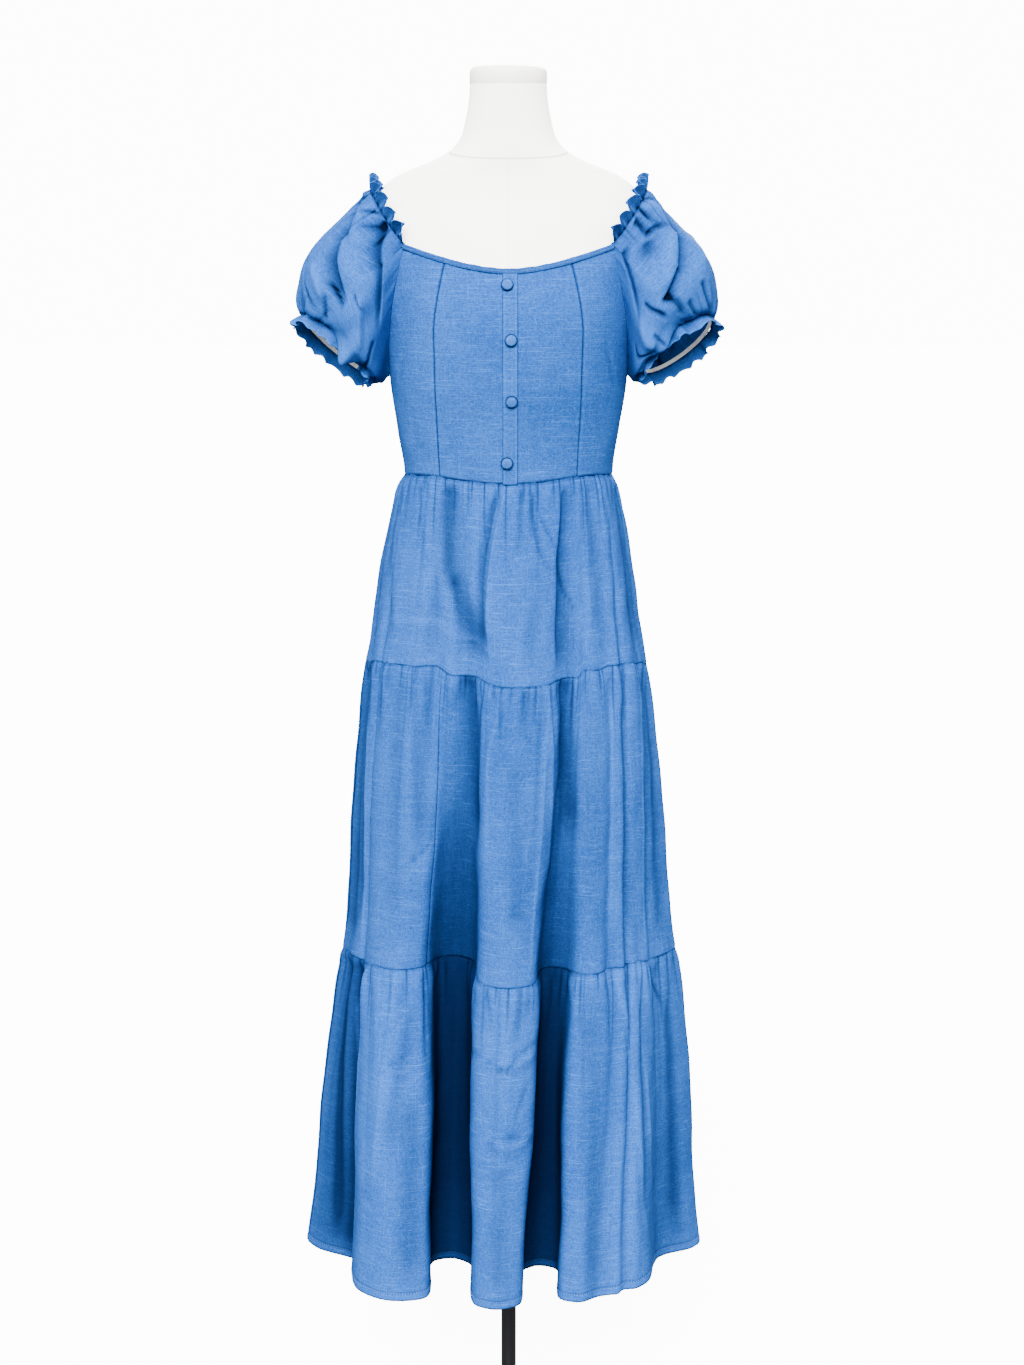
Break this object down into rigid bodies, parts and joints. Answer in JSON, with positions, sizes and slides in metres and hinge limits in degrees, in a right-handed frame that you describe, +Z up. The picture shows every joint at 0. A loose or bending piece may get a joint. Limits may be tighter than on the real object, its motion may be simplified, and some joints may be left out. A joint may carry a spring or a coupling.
{
  "type": "tiered midi dress on a limbless dress form",
  "caption": "Chambray midi dress with puff sleeves, buttoned bodice and gathered tiers, on a limbless dress form with pole and round base.",
  "frame": {"origin": "centre of the stand's base on its flat underside, on the pole's axis", "axes": "+Z up, -Y is the dress's front, +X to the viewer's right when facing the front"},
  "size_m": [0.5061, 0.3887, 1.6955],
  "materials": {
    "chambray": "matt woven chambray with a fine slub",
    "elastic": "matt white knitted elastic",
    "form_cloth": "smooth off-white stretch cover",
    "cap_plastic": "satin off-white plastic",
    "black_steel": "satin black powder coat"
  },
  "bodies": {
    "root": {"form_torso": "form_cloth", "form_neck_cap": "cap_plastic", "form_socket": "black_steel", "form_pole": "black_steel", "form_base": "black_steel", "bodice_side_front_left": "chambray", "bodice_centre_front_left": "chambray", "bodice_centre_front_right": "chambray", "bodice_side_front_right": "chambray", "bodice_back": "chambray", "button_placket": "chambray", "button_1": "chambray", "button_2": "chambray", "button_3": "chambray", "button_4": "chambray", "neckline_band_front": "chambray", "neckline_band_back": "chambray", "tier1_front": "chambray", "tier1_back": "chambray", "tier2_front_left": "chambray", "tier2_front_right": "chambray", "tier2_back": "chambray", "tier3_front": "chambray", "tier3_back": "chambray", "sleeve_left": "chambray", "cuff_ruffle_left": "chambray", "cuff_elastic_left": "elastic", "neck_ruffle_left": "chambray", "sleeve_right": "chambray", "cuff_ruffle_right": "chambray", "cuff_elastic_right": "elastic", "neck_ruffle_right": "chambray"}
  },
  "joints": []
}
